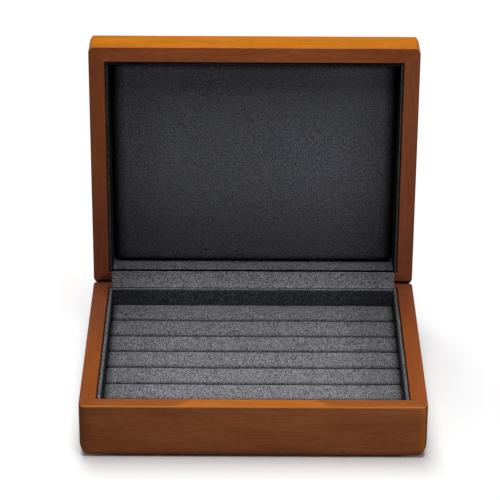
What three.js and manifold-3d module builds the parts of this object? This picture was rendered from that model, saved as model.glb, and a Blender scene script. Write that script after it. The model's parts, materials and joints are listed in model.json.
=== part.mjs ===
// Wooden ring box with its lid standing open.
//
// The base holds seven suede-covered foam rolls that grip rings between them, and the lid is hung
// on two brass butt hinges let into the rear rims. Sizes are in millimetres. The origin is on the
// table under the middle of the base, +X is to the right, +Y to the rear and +Z up.
//
// Base and lid are the same kind of tray, so each is drawn rim up in the hinge's own frame: X runs
// along the pin, Y is 0 on the pin and grows to the rear, and Z is 0 on the pin. The lid is that
// tray turned upside down and then swung open about the pin.

import * as THREE from 'three';
import { mergeVertices } from 'three/addons/utils/BufferGeometryUtils.js';
import Module from 'manifold-3d';

const wasm = await Module();
wasm.setup();

// Outside of the box
const boxWidth = 250;
const boxDepth = 198.6;
const baseHeight = 41.2;
const lidHeight = 27.5;
const cornerRadius = 5;
const baseFrontRounding = 5;
const baseSideRounding = 11.5;
const lidFrontRounding = 4;
const lidSideRounding = 7.5;
const rimBevel = 0.5;

// Wooden walls and panels
const wallThickness = 12;
const rearWallThickness = 9.6;
const floorThickness = 4;
const lidTopThickness = 6;
const panelRebate = 2;
const glueLine = 0.1;

// Where the rims meet at the hinge
const rimGap = 0.4;
const rearChamfer = 1.6;
const pinRelief = 0.8;
const runningGap = 0.3;
const lidOpenDegrees = 90;

// Suede-covered lining boards
const liningThickness = 2.2;
const liningWallGap = 0.8;
const liningEdgeRadius = 0.7;
const liningBelowRim = 0.6;

// Foam rolls on their card
const rollCount = 7;
const cardThickness = 2;
const rollTopBelowRim = 13.4;
const rollCrownHeight = 8.4;
const rollSpacing = 0.3;
const rollEndGap = 0.4;
const rollEndRounding = 2;
const rollFootRadius = 3;

// Padded panel in the lid
const padThickness = 9.5;
const padEdgeGap = 1.8;
const padRounding = 4.5;
const padCornerRadius = 5;

// Suede strip over the hinges, half of it on each rim
const stripThickness = 0.5;
const stripRebate = 0.7;
const stripEndInset = 2.3;
const hingeRidge = 1.8;

// Butt hinges
const hingeLength = 38;
const hingeFromCorner = 43;
const leafWidth = 6.6;
const leafThickness = 1;
const knuckleCount = 3;
const pinRadius = 0.7;
const pinHeadRadius = 1.2;
const pinHeadLength = 0.5;

// Countersunk screws in the hinge leaves
const screwsPerLeaf = 2;
const screwLength = 7;
const screwShankRadius = 0.6;
const screwHeadRadius = 1.3;
const screwHeadDepth = 0.7;
const screwSlotWidth = 0.4;
const screwSlotDepth = 0.25;
const screwFromLeafEnd = 7;
const screwAcrossLeafShare = 0.6;

// Every cutting tool runs this far past what it cuts
const overrun = 2;

// Steps in arcs and round bars, and the power that gives a roll its flat crown
const arcSteps = 8;
const softSteps = 4;
const roundSteps = 20;
const crownSteps = 16;
const crownExponent = 3.2;

// Levels and faces in the hinge's frame
const rimZ = -rimGap / 2;
const rearY = rearChamfer;
const frontY = rearY - boxDepth;
const innerRearY = rearY - rearWallThickness;
const innerFrontY = frontY + wallThickness;
const middleY = (frontY + rearY) / 2;
const innerWidth = boxWidth - 2 * wallThickness;
const innerDepth = innerRearY - innerFrontY;
const innerMiddleY = (innerFrontY + innerRearY) / 2;
const knuckleRadius = rearChamfer;
const leafTopZ = rimZ - stripRebate;
const screwY = -leafWidth * screwAcrossLeafShare;

// Geometry to solid and back

function solidOf(geometry) {
  const bare = geometry.clone();
  bare.deleteAttribute('normal');
  bare.deleteAttribute('uv');
  const merged = mergeVertices(bare);
  return new wasm.Manifold(new wasm.Mesh({
    numProp: 3,
    vertProperties: merged.attributes.position.array,
    triVerts: Uint32Array.from(merged.index.array),
  }));
}

function geometryOf(solid) {
  const mesh = solid.getMesh();
  const geometry = new THREE.BufferGeometry();
  geometry.setAttribute('position', new THREE.BufferAttribute(mesh.vertProperties, 3));
  geometry.setIndex(new THREE.BufferAttribute(mesh.triVerts, 1));
  geometry.computeVertexNormals();
  return geometry;
}

// A box between two corners
function boxBetween([x0, y0, z0], [x1, y1, z1]) {
  const geometry = new THREE.BoxGeometry(x1 - x0, y1 - y0, z1 - z0);
  return geometry.translate((x0 + x1) / 2, (y0 + y1) / 2, (z0 + z1) / 2);
}

function outlineShape(points) {
  return new THREE.Shape(points.map(([x, y]) => new THREE.Vector2(x, y)));
}

// An upright prism on a plan outline
function uprightPrism(points, bottomZ, topZ) {
  const options = { depth: topZ - bottomZ, bevelEnabled: false };
  return new THREE.ExtrudeGeometry(outlineShape(points), options).translate(0, 0, bottomZ);
}

// A bar along X on a section given as (y, z) points
function barAlongX(shape, startX, endX, options = { bevelEnabled: false }) {
  const geometry = new THREE.ExtrudeGeometry(shape, { depth: endX - startX, ...options });
  geometry.rotateX(Math.PI / 2);
  geometry.rotateZ(Math.PI / 2);
  return geometry.translate(startX, 0, 0);
}

function cylinderAlongX(radius, startX, endX) {
  const geometry = new THREE.CylinderGeometry(radius, radius, endX - startX, roundSteps);
  geometry.rotateZ(Math.PI / 2);
  return geometry.translate((startX + endX) / 2, 0, 0);
}

function roundedRectangle(width, depth, radius) {
  const right = width / 2;
  const back = depth / 2;
  const shape = new THREE.Shape();
  shape.moveTo(radius - right, -back);
  shape.lineTo(right - radius, -back);
  shape.absarc(right - radius, radius - back, radius, -Math.PI / 2, 0);
  shape.lineTo(right, back - radius);
  shape.absarc(right - radius, back - radius, radius, 0, Math.PI / 2);
  shape.lineTo(radius - right, back);
  shape.absarc(radius - right, back - radius, radius, Math.PI / 2, Math.PI);
  shape.lineTo(-right, radius - back);
  shape.absarc(radius - right, radius - back, radius, Math.PI, Math.PI * 1.5);
  return shape;
}

// A block whose two ends are rounded in by the same amount
function roundEndedBlock(shape, height, rounding, steps = arcSteps) {
  return new THREE.ExtrudeGeometry(shape, {
    depth: height - 2 * rounding,
    bevelThickness: rounding,
    bevelSize: rounding,
    bevelOffset: -rounding,
    bevelSegments: steps,
    curveSegments: arcSteps,
  }).translate(0, 0, rounding);
}

// Materials, one function for each stuff

function mahogany() {
  return new THREE.MeshStandardMaterial({ color: 0x8a4a26, roughness: 0.35, metalness: 0 });
}

function greySuede() {
  return new THREE.MeshStandardMaterial({ color: 0x6b6a70, roughness: 0.95, metalness: 0 });
}

function greyCard() {
  return new THREE.MeshStandardMaterial({ color: 0x55524e, roughness: 0.9, metalness: 0 });
}

function brass() {
  return new THREE.MeshStandardMaterial({ color: 0xb58a3c, roughness: 0.3, metalness: 1 });
}

function piece(name, geometry, material) {
  const mesh = new THREE.Mesh(geometry, material);
  mesh.name = name;
  return mesh;
}

// The wooden tray: one block, hollowed, rebated for its panel and split at the corners

// Section of the block from its near side to its far side, with both lower edges rounded
function blockSection(nearSide, farSide, bottomZ, rounding) {
  const arcZ = bottomZ + rounding;
  const shape = new THREE.Shape();
  shape.moveTo(nearSide, rimZ + overrun);
  shape.lineTo(nearSide, arcZ);
  shape.absarc(nearSide + rounding, arcZ, rounding, Math.PI, Math.PI * 1.5);
  shape.absarc(farSide - rounding, arcZ, rounding, Math.PI * 1.5, Math.PI * 2);
  shape.lineTo(farSide, rimZ + overrun);
  return shape;
}

// The block as it comes from the router: its lower edges are rounded along X and along Y
function routedBlock(bottomZ, roundings) {
  const options = { bevelEnabled: false, curveSegments: arcSteps };
  const alongX = solidOf(barAlongX(
    blockSection(frontY, rearY, bottomZ, roundings.front),
    -boxWidth / 2 - overrun,
    boxWidth / 2 + overrun,
    options,
  ));
  const alongY = solidOf(barAlongX(
    blockSection(-boxWidth / 2, boxWidth / 2, bottomZ, roundings.side),
    frontY - overrun,
    rearY + overrun,
    options,
  ).rotateZ(Math.PI / 2));
  return alongX.intersect(alongY);
}

function trayShell(height, roundings, panelThickness) {
  const outline = roundedRectangle(boxWidth, boxDepth, cornerRadius);
  const bottomZ = rimZ - height;
  const bevelled = solidOf(roundEndedBlock(outline, height + 2 * rimBevel, rimBevel, 1)
    .translate(0, middleY, bottomZ - 2 * rimBevel));
  const hollow = solidOf(boxBetween(
    [-innerWidth / 2, innerFrontY, bottomZ - overrun],
    [innerWidth / 2, innerRearY, rimZ + overrun],
  ));
  const flare = solidOf(new THREE.ExtrudeGeometry(
    outlineShape([
      [-innerWidth / 2, innerFrontY],
      [innerWidth / 2, innerFrontY],
      [innerWidth / 2, innerRearY],
      [-innerWidth / 2, innerRearY],
    ]),
    { depth: overrun, bevelThickness: rimBevel, bevelSize: rimBevel, bevelSegments: 1 },
  ).translate(0, 0, rimZ));
  const rebate = solidOf(boxBetween(
    [-innerWidth / 2 - panelRebate, innerFrontY - panelRebate, bottomZ - overrun],
    [innerWidth / 2 + panelRebate, innerRearY + panelRebate, bottomZ + panelThickness],
  ));
  return routedBlock(bottomZ, roundings)
    .intersect(bevelled)
    .subtract(hollow)
    .subtract(flare)
    .subtract(rebate)
    .subtract(rearChamferTool());
}

// The sloping cut along the rear edge, on which the open lid comes to rest, and the round groove
// that frees the two rims along the pin
function rearChamferTool() {
  const away = runningGap / 2 * Math.SQRT2;
  const reach = rearChamfer + overrun;
  const section = outlineShape([
    [-away - overrun, overrun],
    [reach, -reach - away],
    [reach, overrun],
  ]);
  const startX = -boxWidth / 2 - overrun;
  const endX = boxWidth / 2 + overrun;
  return solidOf(barAlongX(section, startX, endX))
    .add(solidOf(cylinderAlongX(pinRelief, startX, endX)));
}

// A plan wedge that holds one wall: from the outer corners to the inner corners and a little past
function wallWedge(outerA, outerB, innerB, innerA, shiftY, height) {
  const past = (from, to) => {
    const step = new THREE.Vector2(to[0] - from[0], to[1] - from[1]).setLength(overrun);
    return [to[0] + step.x, to[1] + step.y + shiftY];
  };
  const points = [
    past(innerA, outerA),
    past(innerB, outerB),
    past(outerB, innerB),
    past(outerA, innerA),
  ];
  return solidOf(uprightPrism(points, rimZ - height - overrun, rimZ + overrun));
}

function trayWalls(height, roundings, panelThickness) {
  const shell = trayShell(height, roundings, panelThickness);
  const outer = { x: boxWidth / 2, front: frontY, rear: rearY };
  const inner = { x: innerWidth / 2, front: innerFrontY, rear: innerRearY };
  const corner = (box, side, end) => [side * box.x, box[end]];
  const cut = (a, b, shiftY) => shell.intersect(wallWedge(
    corner(outer, ...a),
    corner(outer, ...b),
    corner(inner, ...b),
    corner(inner, ...a),
    shiftY,
    height,
  ));
  return {
    front: cut([-1, 'front'], [1, 'front'], -glueLine),
    rear: cut([1, 'rear'], [-1, 'rear'], glueLine).subtract(rearWallSeats()),
    minusX: cut([-1, 'rear'], [-1, 'front'], 0),
    plusX: cut([1, 'front'], [1, 'rear'], 0),
  };
}

// The panel glued into the rebate round the tray's bottom
function trayPanel(height, panelThickness) {
  const reach = panelRebate - glueLine;
  const bottomZ = rimZ - height;
  return boxBetween(
    [-innerWidth / 2 - reach, innerFrontY - reach, bottomZ],
    [innerWidth / 2 + reach, innerRearY + reach, bottomZ + panelThickness - glueLine],
  );
}

// Everything let into a rear rim: the strip's rebate, the leaves, their knuckles and their screws
function rearWallSeats() {
  const half = innerWidth / 2 - stripEndInset + runningGap;
  let seats = solidOf(boxBetween(
    [-half, innerRearY - overrun, rimZ - stripRebate],
    [half, -hingeRidge, rimZ + overrun],
  ));
  for (const middleX of hingeMiddles()) {
    const startX = middleX - hingeLength / 2 - runningGap;
    const endX = middleX + hingeLength / 2 + runningGap;
    seats = seats
      .add(solidOf(boxBetween(
        [startX, -leafWidth - glueLine, leafTopZ - leafThickness - glueLine],
        [endX, 0, rimZ],
      )))
      .add(solidOf(cylinderAlongX(
        knuckleRadius + runningGap,
        startX - pinHeadLength,
        endX + pinHeadLength,
      )));
    for (const x of screwPlaces(middleX)) {
      seats = seats.add(solidOf(screwShape(glueLine).translate(x, screwY, leafTopZ)));
    }
  }
  return seats;
}

// Suede-covered boards

// Section of a lining board: square foot, rounded top, standing from zero to its height
function liningSection(height) {
  const half = liningThickness / 2;
  const radius = liningEdgeRadius;
  const shape = new THREE.Shape();
  shape.moveTo(-half, 0);
  shape.lineTo(half, 0);
  shape.lineTo(half, height - radius);
  shape.absarc(half - radius, height - radius, radius, 0, Math.PI / 2);
  shape.lineTo(radius - half, height);
  shape.absarc(radius - half, height - radius, radius, Math.PI / 2, Math.PI);
  return shape;
}

// The boards stand on the tray's panel. They turn about Z to run along a side.
function lining(length, height, middleX, middleYHere, footZ, turn) {
  const geometry = barAlongX(liningSection(height), -length / 2, length / 2, {
    bevelEnabled: false,
    curveSegments: arcSteps,
  });
  return geometry.rotateZ(turn).translate(middleX, middleYHere, footZ);
}

function trayLinings(height, panelThickness, withFront) {
  const footZ = rimZ - height + panelThickness;
  const tall = height - panelThickness - liningBelowRim;
  const fromWall = liningWallGap + liningThickness / 2;
  const sideX = innerWidth / 2 - fromWall;
  const endY = innerRearY - fromWall;
  const startY = innerFrontY + fromWall;
  const sideLength = innerDepth - 2 * liningWallGap;
  const crossLength = innerWidth - 2 * (fromWall + liningThickness / 2 + glueLine);
  const boards = {
    rear: lining(crossLength, tall, 0, endY, footZ, 0),
    minusX: lining(sideLength, tall, -sideX, innerMiddleY, footZ, Math.PI / 2),
    plusX: lining(sideLength, tall, sideX, innerMiddleY, footZ, Math.PI / 2),
  };
  if (withFront) {
    boards.front = lining(crossLength, tall, 0, startY, footZ, 0);
  }
  return boards;
}

// Foam rolls

const liningInset = liningWallGap + liningThickness;
const bedRearY = innerRearY - liningInset - glueLine;
const bedFrontY = innerFrontY + rollSpacing;
const rollPitch = (bedRearY - bedFrontY) / rollCount;
const bedHalfWidth = innerWidth / 2 - liningInset - glueLine;
const floorTopZ = rimZ - baseHeight + floorThickness;
const cardTopZ = floorTopZ + cardThickness;

function rollCard() {
  return boxBetween(
    [-bedHalfWidth, bedFrontY, floorTopZ],
    [bedHalfWidth, bedRearY, cardTopZ - glueLine],
  );
}

// A roll's section: flat foot, upright sides and a crown that is flat on top with round shoulders
function rollSection() {
  const half = (rollPitch - rollSpacing) / 2;
  const height = rimZ - rollTopBelowRim - cardTopZ;
  const shoulderZ = height - rollCrownHeight;
  const shape = new THREE.Shape();
  shape.moveTo(rollFootRadius - half, 0);
  shape.lineTo(half - rollFootRadius, 0);
  shape.absarc(half - rollFootRadius, rollFootRadius, rollFootRadius, -Math.PI / 2, 0);
  for (let i = 0; i <= crownSteps; i += 1) {
    const angle = Math.PI * i / crownSteps;
    const across = Math.sign(Math.cos(angle)) * Math.abs(Math.cos(angle)) ** (2 / crownExponent);
    const up = Math.sin(angle) ** (2 / crownExponent);
    shape.lineTo(half * across, shoulderZ + rollCrownHeight * up);
  }
  shape.absarc(rollFootRadius - half, rollFootRadius, rollFootRadius, Math.PI, Math.PI * 1.5);
  return shape;
}

function foamRoll(number) {
  const end = bedHalfWidth - rollEndGap;
  const geometry = barAlongX(rollSection(), rollEndRounding - end, end - rollEndRounding, {
    bevelThickness: rollEndRounding,
    bevelSize: rollEndRounding,
    bevelOffset: -rollEndRounding,
    bevelSegments: softSteps,
    curveSegments: softSteps,
  });
  return geometry.translate(0, bedRearY - rollPitch * (number - 0.5), cardTopZ);
}

// Padded panel that covers the inside of the lid's top
function lidPad() {
  const inset = liningInset + padEdgeGap;
  const width = innerWidth - 2 * inset;
  const depth = innerDepth - 2 * inset;
  const seatZ = rimZ - lidHeight + lidTopThickness;
  const outline = roundedRectangle(width, depth, padCornerRadius);
  return roundEndedBlock(outline, padThickness, padRounding, softSteps)
    .translate(0, innerMiddleY, seatZ);
}

// Half of the suede strip, lying in the rebate of one rear rim
function stripHalf() {
  const half = innerWidth / 2 - stripEndInset;
  const lowZ = leafTopZ + glueLine;
  return boxBetween(
    [-half, innerRearY + glueLine, lowZ],
    [half, -hingeRidge - runningGap, lowZ + stripThickness],
  );
}

// Hinges

function hingeMiddles() {
  const middleX = innerWidth / 2 - hingeFromCorner;
  return [-middleX, middleX];
}

function screwPlaces(middleX) {
  const first = middleX - hingeLength / 2 + screwFromLeafEnd;
  const step = (hingeLength - 2 * screwFromLeafEnd) / (screwsPerLeaf - 1);
  return Array.from({ length: screwsPerLeaf }, (_, i) => first + step * i);
}

// One leaf: a plate and its share of the knuckles. The base's leaf has the outer knuckles.
function hingeLeaf(middleX, outerKnuckles) {
  const startX = middleX - hingeLength / 2;
  const knuckleLength = hingeLength / knuckleCount;
  let leaf = solidOf(boxBetween(
    [startX, -leafWidth, leafTopZ - leafThickness],
    [startX + hingeLength, 0, leafTopZ],
  ));
  for (let i = 0; i < knuckleCount; i += 1) {
    const fromX = startX + knuckleLength * i;
    const toX = fromX + knuckleLength;
    const own = (i % 2 === 0) === outerKnuckles;
    const trimStart = i === 0 ? 0 : runningGap / 2;
    const trimEnd = i === knuckleCount - 1 ? 0 : runningGap / 2;
    if (own) {
      leaf = leaf.add(solidOf(cylinderAlongX(knuckleRadius, fromX + trimStart, toX - trimEnd)));
    } else {
      const room = knuckleRadius + runningGap;
      leaf = leaf.subtract(solidOf(cylinderAlongX(
        room,
        fromX - (i === 0 ? overrun : runningGap / 2),
        toX + (i === knuckleCount - 1 ? overrun : runningGap / 2),
      )));
    }
  }
  leaf = leaf.subtract(solidOf(cylinderAlongX(
    pinRadius + runningGap,
    startX - overrun,
    startX + hingeLength + overrun,
  )));
  for (const x of screwPlaces(middleX)) {
    leaf = leaf.subtract(solidOf(screwShape(glueLine).translate(x, screwY, leafTopZ)));
  }
  return leaf;
}

// The pin runs through all knuckles and has a small head at both ends
function hingePin(middleX) {
  const half = hingeLength / 2;
  const head = pinHeadLength;
  const profile = [
    [0, -half - head],
    [pinHeadRadius, -half - head],
    [pinHeadRadius, -half],
    [pinRadius, -half],
    [pinRadius, half],
    [pinHeadRadius, half],
    [pinHeadRadius, half + head],
    [0, half + head],
  ];
  const points = profile.map(([radius, along]) => new THREE.Vector2(radius, along));
  return new THREE.LatheGeometry(points, roundSteps).rotateZ(-Math.PI / 2).translate(middleX, 0, 0);
}

// A countersunk screw with its head's top at zero, grown by a clearance where it is used to cut
function screwShape(clearance) {
  const head = screwHeadRadius + clearance;
  const shank = screwShankRadius + clearance;
  const top = clearance > 0 ? overrun : 0;
  const profile = [
    [0, -screwLength - clearance],
    [shank, -screwLength + shank],
    [shank, -screwHeadDepth - clearance],
    [head, -clearance],
    [head, top],
    [0, top],
  ];
  const points = profile.map(([radius, up]) => new THREE.Vector2(radius, up));
  return new THREE.LatheGeometry(points, roundSteps).rotateX(Math.PI / 2);
}

function slottedScrew(x) {
  const slot = solidOf(boxBetween(
    [-screwSlotWidth / 2, -screwHeadRadius - overrun, -screwSlotDepth],
    [screwSlotWidth / 2, screwHeadRadius + overrun, overrun],
  ));
  return geometryOf(solidOf(screwShape(0)).subtract(slot)).translate(x, screwY, leafTopZ);
}

// Assembly

function addTray(group, word, sideNames, tray, panelName, withFront) {
  const { height, roundings, panelThickness } = tray;
  const [minusName, plusName] = sideNames;
  const nameOf = { front: 'front', rear: 'rear', minusX: minusName, plusX: plusName };
  const walls = trayWalls(height, roundings, panelThickness);
  for (const [side, solid] of Object.entries(walls)) {
    group.add(piece(`${word}_${nameOf[side]}_wall`, geometryOf(solid), mahogany()));
  }
  group.add(piece(panelName, trayPanel(height, panelThickness), mahogany()));
  for (const [side, board] of Object.entries(trayLinings(height, panelThickness, withFront))) {
    group.add(piece(`${word}_${nameOf[side]}_lining`, board, greySuede()));
  }
}

function addHingeHalf(group, word, outerKnuckles, sideNames) {
  hingeMiddles().forEach((middleX, i) => {
    const side = sideNames[i];
    const leaf = geometryOf(hingeLeaf(middleX, outerKnuckles));
    group.add(piece(`${side}_hinge_${word}_leaf`, leaf, brass()));
    screwPlaces(middleX).forEach((x, n) => {
      group.add(piece(`${side}_hinge_${word}_screw_${n + 1}`, slottedScrew(x), brass()));
    });
  });
  group.add(piece(`hinge_strip_${word}_half`, stripHalf(), greySuede()));
}

const base = new THREE.Group();
addTray(base, 'base', ['left', 'right'], {
  height: baseHeight,
  roundings: { front: baseFrontRounding, side: baseSideRounding },
  panelThickness: floorThickness,
}, 'base_floor', false);
base.add(piece('roll_card', rollCard(), greyCard()));
for (let number = 1; number <= rollCount; number += 1) {
  base.add(piece(`ring_roll_${number}`, foamRoll(number), greySuede()));
}
addHingeHalf(base, 'base', true, ['left', 'right']);
hingeMiddles().forEach((middleX, i) => {
  base.add(piece(`${['left', 'right'][i]}_hinge_pin`, hingePin(middleX), brass()));
});

const lidTray = new THREE.Group();
addTray(lidTray, 'lid', ['right', 'left'], {
  height: lidHeight,
  roundings: { front: lidFrontRounding, side: lidSideRounding },
  panelThickness: lidTopThickness,
}, 'lid_top', true);
lidTray.add(piece('lid_pad', lidPad(), greySuede()));
addHingeHalf(lidTray, 'lid', false, ['right', 'left']);
lidTray.rotation.y = Math.PI;

const lid = new THREE.Group();
lid.add(lidTray);
lid.rotation.x = -THREE.MathUtils.degToRad(lidOpenDegrees);

const ringBox = new THREE.Group();
ringBox.add(base, lid);
ringBox.position.set(0, boxDepth / 2 - rearChamfer, baseHeight - rimZ);

export default ringBox;
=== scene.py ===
import json
import math

import bmesh
import bpy
from mathutils import Matrix, Vector, noise


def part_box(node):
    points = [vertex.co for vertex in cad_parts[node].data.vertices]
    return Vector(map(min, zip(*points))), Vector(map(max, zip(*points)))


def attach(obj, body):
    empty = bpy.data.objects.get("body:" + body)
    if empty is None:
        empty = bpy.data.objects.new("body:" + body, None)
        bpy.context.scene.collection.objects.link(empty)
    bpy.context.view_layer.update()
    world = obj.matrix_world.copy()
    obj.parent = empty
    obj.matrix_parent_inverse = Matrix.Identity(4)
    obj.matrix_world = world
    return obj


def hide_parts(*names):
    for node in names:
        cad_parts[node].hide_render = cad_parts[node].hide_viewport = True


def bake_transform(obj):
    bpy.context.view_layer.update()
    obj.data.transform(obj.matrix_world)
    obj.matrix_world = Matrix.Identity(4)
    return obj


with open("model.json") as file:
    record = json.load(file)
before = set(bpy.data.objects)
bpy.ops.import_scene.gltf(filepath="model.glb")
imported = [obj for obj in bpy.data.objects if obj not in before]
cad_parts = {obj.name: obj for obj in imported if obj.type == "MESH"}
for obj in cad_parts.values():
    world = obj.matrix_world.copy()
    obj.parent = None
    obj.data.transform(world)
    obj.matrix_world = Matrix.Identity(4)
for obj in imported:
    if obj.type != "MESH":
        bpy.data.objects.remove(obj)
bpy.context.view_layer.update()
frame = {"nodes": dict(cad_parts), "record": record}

nodes = frame["nodes"]

# Camera
# A long lens in front of the box, a little above it. Its place, tilt and focal length come from
# a fit to the edges in the photograph.
mm = 0.001
film_width = 36
lens_length = 173.27
camera_aim = Vector((-2.78, -0.8, 117.9)) * mm
camera_distance = 1769.65 * mm
camera_height_angle = math.radians(26.16)
camera_turn = math.radians(-0.18)
camera_roll = math.radians(0.35)
camera_reach = 50

camera_data = bpy.data.cameras.new("photo_camera")
camera_data.sensor_width = film_width
camera_data.lens = lens_length
camera_data.clip_end = camera_reach
camera = bpy.data.objects.new("photo_camera", camera_data)
bpy.context.scene.collection.objects.link(camera)
camera_pose = (
    Matrix.Rotation(camera_turn, 4, "Z")
    @ Matrix.Rotation(math.pi / 2 - camera_height_angle, 4, "X")
    @ Matrix.Rotation(camera_roll, 4, "Z")
)
backwards = camera_pose.to_3x3() @ Vector((0, 0, 1))
camera.matrix_world = Matrix.Translation(camera_aim + backwards * camera_distance) @ camera_pose
bpy.context.scene.camera = camera
bpy.context.scene.view_settings.view_transform = "Standard"

# Studio
# The box stands on a wide pale table under one large soft lamp, with a weak lamp at its right.
# Table and surroundings show white to the camera and send only a little light back to the box.


def feed(step, sockets):
    """Link or set the inputs of a shader node."""
    for name, value in sockets.items():
        if isinstance(value, Tone):
            step.id_data.links.new(value.socket, step.inputs[name])
        else:
            step.inputs[name].default_value = value


class Tone:
    """One socket of a material. Sums, differences and products of tones add their own nodes."""

    def __init__(self, socket):
        self.socket = socket

    def _math(self, operation, first, second):
        step = self.socket.id_data.nodes.new("ShaderNodeMath")
        step.operation = operation
        feed(step, {0: first, 1: second})
        return Tone(step.outputs[0])

    def __abs__(self):
        return self._math("ABSOLUTE", self, 0)

    def __add__(self, other):
        return self._math("ADD", self, other)

    def __radd__(self, other):
        return self._math("ADD", other, self)

    def __sub__(self, other):
        return self._math("SUBTRACT", self, other)

    def __rsub__(self, other):
        return self._math("SUBTRACT", other, self)

    def __mul__(self, other):
        return self._math("MULTIPLY", self, other)

    def __rmul__(self, other):
        return self._math("MULTIPLY", other, self)


class Finish:
    """A material or world that is built node by node."""

    def __init__(self, tree):
        self.tree = tree
        tree.nodes.clear()

    def node(self, kind, settings, sockets, output=0):
        step = self.tree.nodes.new(kind)
        for name, value in settings.items():
            setattr(step, name, value)
        feed(step, sockets)
        return Tone(step.outputs[output]) if step.outputs else None

    def position(self):
        return self.node("ShaderNodeTexCoord", {}, {}, "Object")

    def axes(self, vector):
        return [
            self.node("ShaderNodeSeparateXYZ", {}, {"Vector": vector}, axis)
            for axis in ("X", "Y", "Z")
        ]

    def stretched(self, vector, scale):
        return self.node("ShaderNodeMapping", {}, {"Vector": vector, "Scale": scale})

    def noise(self, vector, scale, detail, roughness):
        sockets = {"Vector": vector, "Scale": scale, "Detail": detail, "Roughness": roughness}
        return self.node("ShaderNodeTexNoise", {}, sockets)

    def range(self, value, low, high, out_low=0.0, out_high=1.0):
        sockets = {
            "Value": value,
            "From Min": low,
            "From Max": high,
            "To Min": out_low,
            "To Max": out_high,
        }
        return self.node("ShaderNodeMapRange", {"interpolation_type": "SMOOTHSTEP"}, sockets)

    def blend_colours(self, share, first, second):
        sockets = {0: share, 6: first, 7: second}
        return self.node("ShaderNodeMix", {"data_type": "RGBA"}, sockets, 2)

    def shaded(self, colour, shade):
        sockets = {"Vector": colour, "Scale": shade}
        return self.node("ShaderNodeVectorMath", {"operation": "SCALE"}, sockets)

    def bump(self, height, strength, depth):
        sockets = {"Height": height, "Strength": strength, "Distance": depth}
        return self.node("ShaderNodeBump", {}, sockets)

    def surface(self, kind, sockets):
        shader = self.node(kind, {}, sockets)
        self.node("ShaderNodeOutputMaterial", {}, {"Surface": shader})


def new_finish(name):
    material = bpy.data.materials.new(name)
    material.use_nodes = True
    return material, Finish(material.node_tree)


def rgb(red, green, blue):
    return (red, green, blue, 1)


def seen_or_mirrored(finish):
    """One on rays from the camera, from a mirroring surface or through glass, otherwise zero."""
    rays = [
        finish.node("ShaderNodeLightPath", {}, {}, kind)
        for kind in ("Is Camera Ray", "Is Glossy Ray", "Is Transmission Ray")
    ]
    return finish.node("ShaderNodeMath", {"operation": "MINIMUM"}, {0: sum(rays, 0.0), 1: 1.0})


table_size = 8
table_below = 0.2 * mm
table_seen = rgb(1, 1, 1)
table_bounce = rgb(0.28, 0.28, 0.28)
# Beside the box the table glows faintly to the camera, which keeps the floor pale there
table_glow = 0.2
table_glow_start = 100 * mm
table_glow_end = 150 * mm
surround_colour = rgb(1, 1, 1)
surround_seen = 1.0
surround_light = 0.02
box_middle = Vector((0, 0, 0.1))
lamp_place = Vector((-0.12, 0.45, 3.2))
lamp_size = (1.4, 4.4)
lamp_power = 141
side_lamp_place = Vector((1.6, -0.6, 0.6))
side_lamp_size = (0.8, 0.8)
side_lamp_power = 2

table_mesh = bmesh.new()
bmesh.ops.create_grid(table_mesh, x_segments=1, y_segments=1, size=table_size / 2)
bmesh.ops.translate(table_mesh, vec=(0, 0, -table_below), verts=table_mesh.verts)
table = bpy.data.objects.new("table", bpy.data.meshes.new("table"))
table_mesh.to_mesh(table.data)
bpy.context.scene.collection.objects.link(table)
table_material, finish = new_finish("pale table")
seen = seen_or_mirrored(finish)
lit = finish.node("ShaderNodeBsdfDiffuse", {}, {
    "Color": finish.blend_colours(seen, table_bounce, table_seen),
})
glow = finish.node("ShaderNodeEmission", {}, {"Color": table_seen, "Strength": 1.0})
across = finish.axes(finish.position())[0]
beside = finish.range(abs(across), table_glow_start, table_glow_end, 0.0, table_glow)
finish.surface("ShaderNodeMixShader", {0: seen * beside, 1: lit, 2: glow})
table.data.materials.append(table_material)

world = bpy.data.worlds.new("studio")
bpy.context.scene.world = world
world.use_nodes = True
finish = Finish(world.node_tree)
seen = seen_or_mirrored(finish)
sky = finish.node("ShaderNodeBackground", {}, {
    "Color": surround_colour,
    "Strength": surround_light + (surround_seen - surround_light) * seen,
})
finish.node("ShaderNodeOutputWorld", {}, {"Surface": sky})


def soft_lamp(name, place, size, power):
    data = bpy.data.lights.new(name, "AREA")
    data.shape = "RECTANGLE"
    data.size, data.size_y = size
    data.energy = power
    lamp = bpy.data.objects.new(name, data)
    bpy.context.scene.collection.objects.link(lamp)
    facing = (box_middle - place).to_track_quat("-Z", "Y")
    lamp.matrix_world = Matrix.Translation(place) @ facing.to_matrix().to_4x4()


soft_lamp("large_lamp", lamp_place, lamp_size, lamp_power)
soft_lamp("side_lamp", side_lamp_place, side_lamp_size, side_lamp_power)

# Wooden walls and panels
# Boards of a straight-grained hardwood, mitred at the corners, stained red-brown and given a
# satin lacquer. The grain runs along each board, and every board has its own tone.
lacquer_roughness = 0.42
lacquer_roughness_change = 0.12
lacquer_specular = 0.03
lacquer_bump = 0.25
lacquer_depth = 0.06 * mm
streak_relief = 0.3
fibre_relief = 0.4
pore_relief = 0.5
pore_start = 0.28
pore_end = 0.42
figure_contrast = 0.9
streak_contrast = 0.9
fibre_contrast = 1.1
# Length, width, detail and roughness of the patterns in the wood
wood_patterns = {
    "figure": (60 * mm, 12 * mm, 2, 0.5),
    "streaks": (34 * mm, 1.8 * mm, 3, 0.6),
    "fibres": (5 * mm, 0.8 * mm, 2, 0.6),
    "pores": (5 * mm, 0.35 * mm, 1, 0.5),
}
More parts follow.
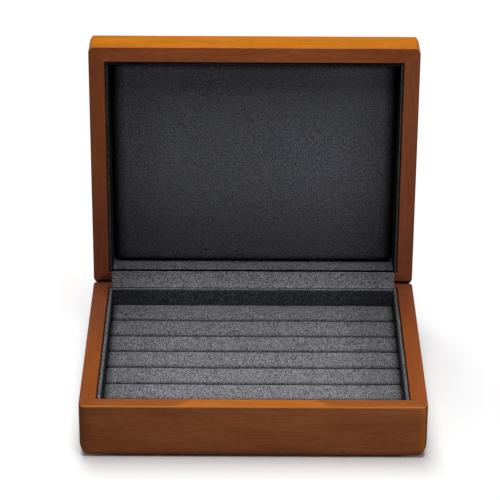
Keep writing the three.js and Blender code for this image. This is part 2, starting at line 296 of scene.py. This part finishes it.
# How far the grain is shifted from one board to the next
grain_step = (0.37, 0.21, 0.13)
grain_turns = {
    "X": (0, 0, 0),
    "Y": (0, 0, math.pi / 2),
    "Z": (0, math.pi / 2, 0),
}
dark_grain = (0.74, 0.68, 0.7)
light_grain = (1.26, 1.32, 1.3)


class Board:
    """The material of one board: its grain, and tones that are laid into it."""

    def __init__(self, name, grain, number):
        self.material, self.finish = new_finish(name)
        position = self.finish.position()
        self.x, self.y, self.z = self.finish.axes(position)
        self.along = self.finish.node("ShaderNodeMapping", {}, {
            "Vector": position,
            "Location": tuple(number * step for step in grain_step),
            "Rotation": grain_turns[grain],
        })
        self.streaks = self.pattern("streaks")
        self.fibres = self.pattern("fibres")
        self.share = (
            0.5
            + (self.pattern("figure") - 0.5) * figure_contrast
            + (self.streaks - 0.5) * streak_contrast
            + (self.fibres - 0.5) * fibre_contrast
        )

    def pattern(self, name):
        length, width, detail, roughness = wood_patterns[name]
        scaled = self.finish.stretched(self.along, (1 / length, 1 / width, 1 / width))
        return self.finish.noise(scaled, 1, detail, roughness)

    def grained(self, tone):
        dark = tuple(part * change for part, change in zip(tone, dark_grain))
        light = tuple(part * change for part, change in zip(tone, light_grain))
        return self.finish.blend_colours(self.share, rgb(*dark), rgb(*light))

    def lacquered(self, colour, specular=lacquer_specular):
        pits = self.finish.range(self.pattern("pores"), pore_start, pore_end)
        relief = self.streaks * streak_relief + self.fibres * fibre_relief + pits * pore_relief
        self.finish.surface("ShaderNodeBsdfPrincipled", {
            "Base Color": colour,
            "Roughness": lacquer_roughness + self.fibres * lacquer_roughness_change,
            "Specular IOR Level": specular,
            "Normal": self.finish.bump(relief, lacquer_bump, lacquer_depth),
        })
        return self.material


def dress(node_names, material):
    for name in node_names:
        for place in nodes[name].material_slots:
            place.material = material


# The base's floor panel has one tone all over.
base_floor_tone = (0.51, 0.16, 0.05)
board = Board("base floor wood", "X", 1)
dress(["base_floor"], board.lacquered(board.grained(base_floor_tone)))

# The lid's panel is black on its inner face, a painted shade that shows in the gaps around the
# pad.
lid_top_tone = (0.49, 0.152, 0.032)
painted_gap_shade = (0.012, 0.012, 0.013)
gap_shade_depth = 0.3 * mm
gap_shade_end = 0.8 * mm

panel_inner_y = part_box("lid_top")[0].y
board = Board("lid top wood", "X", 2)
outside = board.finish.range(board.y, panel_inner_y + gap_shade_depth, panel_inner_y + gap_shade_end)
colour = board.finish.blend_colours(outside, rgb(*painted_gap_shade), board.grained(lid_top_tone))
dress(["lid_top"], board.lacquered(colour))

# The base's front board has a face that is painted lighter up and to the right, with painted
# shade at its left end and a painted orange highlight at its right end. Its rim has a darker tone
# than the face, partly painted light, with a flat paler lens in the middle and a painted
# highlight along the outer edge.
front_face_tone = (0.515, 0.165, 0.06)
front_foot_shade = 0.94
# Painted light gained in each metre of height, where the face is fully lit
front_shade_rise = 6.5
front_lit_start = -120 * mm
front_lit_end = 30 * mm
# The darker left end of the face is painted shade and its orange right end a painted highlight
front_left_width = 11 * mm
front_left_shade = 0.72
front_right_highlight_width = 6 * mm
front_right_highlight_tone = (0.67, 0.203, 0.03)
rim_tone = (0.305, 0.084, 0.016)
rim_turn_start = 1 * mm
rim_turn_end = 0.4 * mm
rim_left_width = 28 * mm
rim_left_shade = 0.84
rim_pale_tone = (0.445, 0.126, 0.016)
rim_pale_half = 44 * mm
rim_pale_slope = 0.92
rim_pale_wander = 7 * mm
rim_pale_blur = 2.5 * mm
# The pale line along the rim's outer edge is a painted highlight
rim_highlight_tone = (0.44, 0.162, 0.038)
rim_highlight_start = 2.2 * mm
rim_highlight_end = 1.4 * mm
rim_highlight_share = 0.9

low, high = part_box("base_front_wall")
board = Board("base front wall wood", "X", 5)
finish = board.finish
pale_edge = high.y - (abs(board.x) - rim_pale_half) * rim_pale_slope
wander = (board.streaks - 0.5) * rim_pale_wander
pale = finish.range(pale_edge - board.y + wander, -rim_pale_blur, rim_pale_blur)
rim_colour = finish.blend_colours(pale, board.grained(rim_tone), board.grained(rim_pale_tone))
rim_left = finish.range(board.x, -high.x, -high.x + rim_left_width, rim_left_shade, 1.0)
rim_highlight = finish.range(
    board.y, low.y + rim_highlight_start, low.y + rim_highlight_end, 0.0, rim_highlight_share
)
rim_colour = finish.blend_colours(
    rim_highlight, finish.shaded(rim_colour, rim_left), rgb(*rim_highlight_tone)
)
left_edge_shade = finish.range(board.x, -high.x, -high.x + front_left_width, front_left_shade, 1.0)
right_edge_highlight = finish.range(board.x, high.x - front_right_highlight_width, high.x)
lit_side = finish.range(board.x, front_lit_start, front_lit_end)
face_colour = finish.blend_colours(
    right_edge_highlight, board.grained(front_face_tone), board.grained(front_right_highlight_tone)
)
face_shade = (front_foot_shade + board.z * lit_side * front_shade_rise) * left_edge_shade
on_rim = finish.range(board.z, high.z - rim_turn_start, high.z - rim_turn_end)
colour = finish.blend_colours(on_rim, finish.shaded(face_colour, face_shade), rim_colour)
dress(["base_front_wall"], board.lacquered(colour))

# The lid's front board is the most orange one and has painted shade on its rounded far edge. Its
# rim has a lighter, redder tone than the top, partly painted light, and is darker at both ends.
lid_front_tone = (0.492, 0.156, 0.0125)
lid_front_specular = 0
# Painted shade along the rounded far edge
lid_far_edge_start = 4 * mm
lid_far_edge_end = 1 * mm
lid_far_edge_shade = 0.7
lid_rim_tone = (0.655, 0.182, 0.06)
lid_rim_turn_start = 0.4 * mm
lid_rim_turn_end = 1.2 * mm
lid_rim_ends_start = 60 * mm
lid_rim_ends_end = 105 * mm
lid_rim_ends_shade = 0.86

low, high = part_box("lid_front_wall")
board = Board("lid front wall wood", "X", 6)
finish = board.finish
off_rim = finish.range(board.y, low.y + lid_rim_turn_start, low.y + lid_rim_turn_end)
far_edge = finish.range(
    board.y, high.y - lid_far_edge_start, high.y - lid_far_edge_end, 1.0, lid_far_edge_shade
)
rim_ends = finish.range(
    abs(board.x), lid_rim_ends_start, lid_rim_ends_end, 1.0, lid_rim_ends_shade
)
colour = finish.blend_colours(
    off_rim,
    finish.shaded(board.grained(lid_rim_tone), rim_ends),
    finish.shaded(board.grained(lid_front_tone), far_edge),
)
dress(["lid_front_wall"], board.lacquered(colour, lid_front_specular))

# The side and rear boards have painted shade towards the hinges, and a painted shadow, nearly
# black, in the groove along the pins. The lid's rear board is also darker at its left end than at
# its right.
hinge_place = Vector(frame["record"]["behaviour"]["joints"][0]["pos_m"])
base_left_tones = ((0.171, 0.051, 0.024), (0.243, 0.062, 0.01))
base_right_tones = ((0.235, 0.07, 0.036), (0.272, 0.069, 0.015))
lid_rear_tones = ((0.28, 0.082, 0.032), (0.35, 0.10, 0.036))
lid_left_tones = ((0.34, 0.10, 0.047), (0.48, 0.135, 0.047))
lid_right_tones = ((0.44, 0.128, 0.06), (0.57, 0.171, 0.071))
groove_dark = 1.1 * mm
groove_light = 1.7 * mm
groove_shade = 0.03
lid_rear_left_shade = 0.72
lid_rear_right_shade = 1.35
# Grain, the painted-shade tone near the hinge and the tone away from it, and how far from it each
# tone is reached
hinged_boards = {
    "base_rear_wall": ("X", base_left_tones, -40 * mm, 170 * mm),
    "base_left_wall": ("Y", base_left_tones, -40 * mm, 170 * mm),
    "base_right_wall": ("Y", base_right_tones, -60 * mm, 110 * mm),
    "lid_rear_wall": ("X", lid_rear_tones, 0, 170 * mm),
    "lid_left_wall": ("Z", lid_left_tones, 0, 170 * mm),
    "lid_right_wall": ("Z", lid_right_tones, 0, 170 * mm),
}
for number, (node_name, (grain, tones, dark_at, light_at)) in enumerate(hinged_boards.items(), 7):
    board = Board(node_name.replace("_", " ") + " wood", grain, number)
    finish = board.finish
    behind = board.y - hinge_place.y
    above = board.z - hinge_place.z
    from_hinge = above if node_name.startswith("lid") else 0 - behind
    # Painted shade towards the hinge
    away = finish.range(from_hinge, dark_at, light_at)
    colour = finish.blend_colours(away, *(board.grained(tone) for tone in tones))
    # Painted shadow in the groove along the pins
    from_pin = behind * behind + above * above
    shade = finish.range(from_pin, groove_dark ** 2, groove_light ** 2, groove_shade, 1.0)
    if node_name == "lid_rear_wall":
        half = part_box(node_name)[1].x
        shade = shade * finish.range(
            board.x, -half, half, lid_rear_left_shade, lid_rear_right_shade
        )
    dress([node_name], board.lacquered(finish.shaded(colour, shade)))

# Lining boards
# Thin card wrapped in grey suede cloth and pressed in between the panel and the rim. The cloth
# is folded over the card's edge, which makes it round and a little uneven.
suede_colour = (0.19, 0.191, 0.205)
# A bluer copy of the suede's colour for pieces in shade, a painted shade
shaded_suede_colour = (0.182, 0.19, 0.224)
suede_roughness = 0.95
suede_sheen = 0.03
suede_sheen_roughness = 0.4
suede_sheen_tint = rgb(0.8, 0.82, 0.88)
# Painted shade on all suede towards both ends of the box
suede_fade_start = 50 * mm
suede_fade_end = 112 * mm
suede_end_shade = 0.66
suede_cloud = 16 * mm
suede_mottle = 2.4 * mm
suede_pile = 0.66 * mm
cloud_share = 0.04
mottle_share = 0.14
pile_share = 0.82
speckle_start = 0.38
speckle_end = 0.62
suede_bump = 0.5
suede_nap = 0.25 * mm


def grey_suede(
    name,
    shade=1.0,
    fades=(),
    colour=suede_colour,
    speckle=0.8,
    lie=1.0,
    pile_size=suede_pile,
):
    """Suede with painted shade towards both ends of the box, changed again by each fade.

    A fade names a measure and a place on it, how far from that place it starts and how far it
    ends, and the shade at its start; the fades paint light and shade onto the suede. The measures
    are the three axes, the distance from the middle, that distance plus the height, and how far
    down a roll's front shoulder a point lies. The lie stretches the speckle of the pile along Y.
    """
    material, finish = new_finish(name)
    position = finish.position()
    lying = finish.stretched(position, (1, 1 / lie, 1))
    clouds = finish.noise(position, 1 / suede_cloud, detail=3, roughness=0.6)
    mottle = finish.noise(lying, 1 / suede_mottle, detail=2, roughness=0.6)
    pile = finish.noise(lying, 1 / pile_size, detail=1, roughness=0.5)
    share = clouds * cloud_share + mottle * mottle_share + pile * pile_share
    x, y, z = finish.axes(position)
    ends = finish.range(abs(x), suede_fade_start, suede_fade_end, 1.0, suede_end_shade)
    strength = ends * shade
    measures = {
        "x": x,
        "y": y,
        "z": z,
        "from middle": abs(x),
        "from middle and up": abs(x) + z,
        "crease_shade_depth": finish.node("ShaderNodeAttribute", {"attribute_name": "crease_shade_depth"}, {}, "Fac"),
    }
    for measure, place, first, last, first_shade in fades:
        faded = finish.range(measures[measure], place + first, place + last, first_shade, 1.0)
        strength = strength * faded
    speckled = finish.range(share, speckle_start, speckle_end, 1 - speckle, 1 + speckle)
    finish.surface("ShaderNodeBsdfPrincipled", {
        "Base Color": finish.shaded(colour, speckled * strength),
        "Roughness": suede_roughness,
        "Specular IOR Level": 0.0,
        "Sheen Weight": suede_sheen,
        "Sheen Roughness": suede_sheen_roughness,
        "Sheen Tint": suede_sheen_tint,
        "Normal": finish.bump(mottle * 0.5 + pile * 0.5, suede_bump, suede_nap),
    })
    return material


base_lining_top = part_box("base_left_lining")[1].z
lid_lining_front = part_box("lid_left_lining")[0].y
lid_lining_outer = max(abs(corner.x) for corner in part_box("lid_left_lining"))
lid_ledge_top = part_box("lid_rear_lining")[1].z
# The base's side linings darken to nearly black below their top edge, a painted shade in the
# recess
base_side_suede = grey_suede("grey suede of the base side linings", fades=[
    ("z", base_lining_top, -8 * mm, -0.6 * mm, 0.08),
])
# The rear lining's face is painted in shade below its lit top edge
base_rear_suede = grey_suede("grey suede of the base rear lining", shade=1.08, fades=[
    ("z", base_lining_top, -1.6 * mm, -0.6 * mm, 0.42),
], colour=shaded_suede_colour, speckle=0.64)
# The lid's side linings turn nearly black behind their front edge and on their inner faces, a
# painted shade
lid_side_suede = grey_suede("grey suede of the lid side linings", fades=[
    ("y", lid_lining_front, 0.7 * mm, 0.15 * mm, 0.08),
    ("from middle", lid_lining_outer, -1.4 * mm, -0.9 * mm, 0.15),
])
# The lid's front lining is dark all over, a painted shade
lid_front_suede = grey_suede("grey suede of the lid front lining", shade=0.2)
# The lid's rear lining is a little darker and nearly black below the top of its ledge, painted
# shade and a painted shadow line
lid_rear_suede = grey_suede("grey suede of the lid rear lining", shade=0.88, fades=[
    ("z", lid_ledge_top, -0.7 * mm, -0.4 * mm, 0.05),
])

lining_edge = 0.7 * mm
lining_edge_steps = 4
lining_cuts = 70
lining_wave = 0.12 * mm
lining_wave_length = 22 * mm
uneven_seed = 1
uneven_step = (7.3, 3.1, 5.7)
noise.seed_set(uneven_seed)


def finished(name, shape, suede):
    bmesh.ops.recalc_face_normals(shape, faces=shape.faces)
    for face in shape.faces:
        face.smooth = True
    piece = bpy.data.objects.new(name, bpy.data.meshes.new(name))
    shape.to_mesh(piece.data)
    shape.free()
    piece.data.materials.append(suede)
    bpy.context.scene.collection.objects.link(piece)
    return piece


def block(low, high):
    shape = bmesh.new()
    bmesh.ops.create_cube(shape, size=1)
    bmesh.ops.scale(shape, vec=high - low, verts=shape.verts)
    bmesh.ops.translate(shape, vec=(low + high) / 2, verts=shape.verts)
    return shape


def round_edges(shape, edges, radius, steps):
    bmesh.ops.bevel(
        shape,
        geom=edges,
        offset=radius,
        offset_type="OFFSET",
        affect="EDGES",
        segments=steps,
        profile=0.5,
        material=-1,
    )


def cut_long_edges(shape, axis, longer_than, cuts):
    long_edges = [
        edge for edge in shape.edges
        if abs(edge.verts[0].co[axis] - edge.verts[1].co[axis]) > longer_than
    ]
    bmesh.ops.subdivide_edges(shape, edges=long_edges, cuts=cuts, use_grid_fill=True)


def uneven(point, length, seed):
    """A smooth random vector that is fixed by the place and the seed."""
    start = Vector([seed * step for step in uneven_step])
    return noise.noise_vector(point / length + start)


def suede_lining(node_name, body, suede, seed):
    low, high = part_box(node_name)
    size = high - low
    long_axis = max(range(3), key=lambda axis: size[axis])
    shape = block(low, high)
    round_edges(shape, shape.edges[:], lining_edge, lining_edge_steps)
    cut_long_edges(shape, long_axis, size[long_axis] / 2, lining_cuts)
    for vertex in shape.verts:
        vertex.co += uneven(vertex.co, lining_wave_length, seed) * lining_wave
    piece = finished("suede_" + node_name, shape, suede)
    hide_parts(node_name)
    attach(piece, body)


linings = {
    "base_rear_lining": ("base", base_rear_suede),
    "base_left_lining": ("base", base_side_suede),
    "base_right_lining": ("base", base_side_suede),
    "lid_front_lining": ("lid", lid_front_suede),
    "lid_rear_lining": ("lid", lid_rear_suede),
    "lid_left_lining": ("lid", lid_side_suede),
    "lid_right_lining": ("lid", lid_side_suede),
}
for seed, (node_name, (body, suede)) in enumerate(linings.items(), 1):
    suede_lining(node_name, body, suede, seed)

# Card under the rolls
# A board of grey card that lies on the floor panel and is hidden by the rolls, which are glued
# to it.
card_dark = rgb(0.13, 0.12, 0.11)
card_light = rgb(0.27, 0.26, 0.25)
card_roughness = 0.9
card_fleck = 1.5 * mm
card_bump = 0.3
card_relief = 0.1 * mm

card_material, finish = new_finish("grey card")
flecks = finish.noise(finish.position(), 1 / card_fleck, detail=3, roughness=0.7)
finish.surface("ShaderNodeBsdfPrincipled", {
    "Base Color": finish.blend_colours(flecks, card_dark, card_light),
    "Roughness": card_roughness,
    "Normal": finish.bump(flecks, card_bump, card_relief),
})
dress(["roll_card"], card_material)

# Ring rolls
# Seven bars of foam, each wrapped tightly in suede and set side by side, so that a ring is
# gripped in the crease between two of them. They are flat on top with soft shoulders.
roll_count = 7
roll_shoulder = 4 * mm
roll_shoulder_steps = 8
first_roll_rear_shoulder = 1.5 * mm
roll_end_rounding = 2 * mm
roll_end_steps = 4
roll_cuts = 90
roll_crown = 0.7 * mm
roll_lump = 0.22 * mm
roll_lump_length = 14 * mm
crease_wander = 0.45 * mm
crease_wander_length = 60 * mm
crease_step = 4.7
# How far off its place each crease lies, from the one behind the first roll to the one in front
# of the last
crease_leans = (0, 0, -0.8 * mm, -0.4 * mm, -1 * mm, -0.8 * mm, 0, 0)
roll_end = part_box("ring_roll_1")[1].x
# The rolls carry painted shade down each front shoulder into the crease, and at their ends
roll_suede = grey_suede("grey suede of the rolls", shade=1.05, fades=[
    ("crease_shade_depth", 0, 0.5, 0.02, 0.3),
    ("from middle", roll_end, 0, -7 * mm, 0.4),
], speckle=0.68, lie=1.9)


def crease_shift(number, x):
    """How far the crease in front of a roll strays from a straight line."""
    if number in (0, roll_count):
        return 0
    place = Vector((x / crease_wander_length, number * crease_step, 0))
    return crease_leans[number] + noise.noise(place) * 2 * crease_wander


def ring_roll(number):
    """One roll with its crown and lumps. Its front shoulder keeps its depth for the painted
    crease shade.
    """
    node_name = f"ring_roll_{number}"
    low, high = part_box(node_name)
    middle = (low + high) / 2
    half = (high - low) / 2
    crown_top = Vector((high.x, high.y, high.z - roll_crown))
    shape = block(low, crown_top)
    rear_shoulder = first_roll_rear_shoulder if number == 1 else roll_shoulder
    for side, shoulder in ((-1, roll_shoulder), (1, rear_shoulder)):
        top_edges = [
            edge for edge in shape.edges
            if min(vertex.co.z for vertex in edge.verts) > middle.z
            and min((vertex.co.y - middle.y) * side for vertex in edge.verts) > 0
        ]
        round_edges(shape, top_edges, shoulder, roll_shoulder_steps)
    end_edges = [
        edge for edge in shape.edges
        if abs(edge.verts[0].co.x - edge.verts[1].co.x) < half.x
        and max(vertex.co.z for vertex in edge.verts) > low.z + roll_end_rounding
    ]
    round_edges(shape, end_edges, roll_end_rounding, roll_end_steps)
    cut_long_edges(shape, 0, half.x, roll_cuts)
    # How far down its front shoulder each point lies, which sets the painted crease shade
    crease_shade_depth = shape.verts.layers.float.new("crease_shade_depth")
    for vertex in shape.verts:
        x, y, z = vertex.co
        across = (y - middle.y) / half.y
        if across < 0:
            vertex[crease_shade_depth] = (crown_top.z - z) / roll_shoulder
        rise = max(0, (z - low.z) / (crown_top.z - low.z))
        shift = crease_shift(number - 1, x) * (1 + across) / 2
        shift += crease_shift(number, x) * (1 - across) / 2
        lump = uneven(vertex.co, roll_lump_length, number) * roll_lump
        vertex.co.y += shift + lump.y / 2
        vertex.co.z += rise * (roll_crown * (1 - across ** 2) + lump.z - roll_lump)
    piece = finished("suede_" + node_name, shape, roll_suede)
    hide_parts(node_name)
    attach(piece, "base")


for number in range(1, roll_count + 1):
    ring_roll(number)

# Lid pad
# A card with thin wadding under the suede, which is drawn tight over its edges. It is pushed in
# over the inside of the lid's top.
pad_edge = 4.5 * mm
pad_edge_steps = 6
pad_cuts = 60
pad_wave = 0.25 * mm
pad_wave_length = 45 * mm
pad_wave_seed = 3
pad_pile = 0.88 * mm

low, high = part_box("lid_pad")
# The pad's shade and fades are painted light: lifted overall, darker low down, along its top and
# towards it, at its left and at both side edges, and lighter at its upper corners
pad_suede = grey_suede("grey suede of the pad", shade=1.24, fades=[
    ("z", 0, 60 * mm, 140 * mm, 0.6),
    ("z", high.z, 0, -7 * mm, 0.35),
    ("z", high.z, -5 * mm, -80 * mm, 0.8),
    ("x", 0, low.x, high.x, 0.8),
    ("from middle", high.x, 0, -11 * mm, 0.2),
    ("from middle and up", 0, 325 * mm, 245 * mm, 1.5),
], colour=shaded_suede_colour, speckle=0.44, pile_size=pad_pile)
shape = block(low, high)
round_edges(shape, shape.edges[:], pad_edge, pad_edge_steps)
cut_long_edges(shape, 0, (high.x - low.x) / 2, pad_cuts)
cut_long_edges(shape, 2, (high.z - low.z) / 2, pad_cuts)
for vertex in shape.verts:
    if vertex.co.y < (low.y + high.y) / 2:
        wave = uneven(vertex.co, pad_wave_length, pad_wave_seed).y
        vertex.co.y += (1 + wave) * pad_wave
lid_pad = finished("suede_lid_pad", shape, pad_suede)
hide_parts("lid_pad")
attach(lid_pad, "lid")

# Hinge strip
# One strip of suede glued to both rear rims, which hides the hinges. It bridges the corner when
# the lid stands open.
strip_thickness = 0.5 * mm
strip_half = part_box("hinge_strip_base_half")[1].x
strip_edge_wander = 0.2 * mm
strip_edge_wander_length = 18 * mm
strip_edge_seed = 2
strip_ripple = 0.12 * mm
strip_ripple_length = 12 * mm
strip_ripple_seed = 5
strip_cuts_across = 110
strip_cuts_along = 20
strip_smoothings = 3
# The strip is painted lighter overall, with a painted shadow along its low edge and painted shade
# towards its left end
strip_suede = grey_suede("grey suede of the strip", shade=1.45, speckle=0.82, fades=[
    ("z", hinge_place.z, -0.9 * mm, -0.5 * mm, 0.2),
    ("x", 0, -110 * mm, -60 * mm, 0.9),
])
# Section in front of and above the hinge pin, from the base's rim to the lid's
strip_section = [
    Vector((0, -8.3, -1.7)) * mm,
    Vector((0, -8.15, -0.85)) * mm,
    Vector((0, -7.4, -0.45)) * mm,
    Vector((0, -6.2, 0.4)) * mm,
    Vector((0, -3.3, 4.2)) * mm,
    Vector((0, -0.9, 7.9)) * mm,
    Vector((0, -0.45, 9.4)) * mm,
]
strip_lengths = [
    (second - first).length for first, second in zip(strip_section, strip_section[1:])
]
strip_length = sum(strip_lengths)


def strip_point(distance):
    """The place on the strip's section at a distance from its lower edge."""
    for first, second, length in zip(strip_section, strip_section[1:], strip_lengths):
        if distance <= length or second is strip_section[-1]:
            return first.lerp(second, distance / length)
        distance -= length


shape = bmesh.new()
bmesh.ops.create_grid(shape, x_segments=strip_cuts_across, y_segments=strip_cuts_along, size=0.5)
bmesh.ops.scale(shape, vec=(2 * strip_half, strip_length, 1), verts=shape.verts)
for vertex in shape.verts:
    x = vertex.co.x
    distance = vertex.co.y + strip_length / 2
    wander = uneven(Vector((x, 0, 0)), strip_edge_wander_length, strip_edge_seed).x
    place = strip_point(distance + wander * strip_edge_wander * distance / strip_length)
    ripple = uneven(Vector((x, distance, 0)), strip_ripple_length, strip_ripple_seed)
    ripple *= strip_ripple
    vertex.co = hinge_place + Vector((x, 0, 0)) + place + Vector((0, ripple.y, ripple.z))
for _ in range(strip_smoothings):
    inner = [vertex for vertex in shape.verts if not vertex.is_boundary]
    bmesh.ops.smooth_vert(
        shape,
        verts=inner,
        factor=0.5,
        use_axis_x=False,
        use_axis_y=True,
        use_axis_z=True,
    )
bmesh.ops.recalc_face_normals(shape, faces=shape.faces)
bmesh.ops.solidify(shape, geom=shape.faces[:], thickness=strip_thickness)
hinge_strip = finished("suede_hinge_strip", shape, strip_suede)
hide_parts("hinge_strip_base_half", "hinge_strip_lid_half")
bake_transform(hinge_strip)

# Hinges
# Two butt hinges of drawn brass, each with three knuckles round a pin and two screws in each
# leaf. They are let into the rear rims under the strip.
brass_dark = rgb(0.42, 0.27, 0.10)
brass_light = rgb(0.72, 0.52, 0.24)
brass_roughness = 0.22
brass_roughness_change = 0.25
brass_tarnish = 4 * mm
brass_scratch_length = 6 * mm
brass_scratch_width = 0.2 * mm
brass_bump = 0.2
brass_scratch_depth = 0.02 * mm

brass_material, finish = new_finish("satin brass")
across = 1 / brass_scratch_width
brushed = finish.stretched(finish.position(), (1 / brass_scratch_length, across, across))
scratches = finish.noise(brushed, 1, detail=2, roughness=0.5)
tarnish = finish.noise(finish.position(), 1 / brass_tarnish, detail=3, roughness=0.6)
finish.surface("ShaderNodeBsdfPrincipled", {
    "Base Color": finish.blend_colours(tarnish, brass_dark, brass_light),
    "Metallic": 1,
    "Roughness": brass_roughness + tarnish * brass_roughness_change,
    "Normal": finish.bump(scratches, brass_bump, brass_scratch_depth),
})
dress([name for name in nodes if "_hinge_" in name], brass_material)
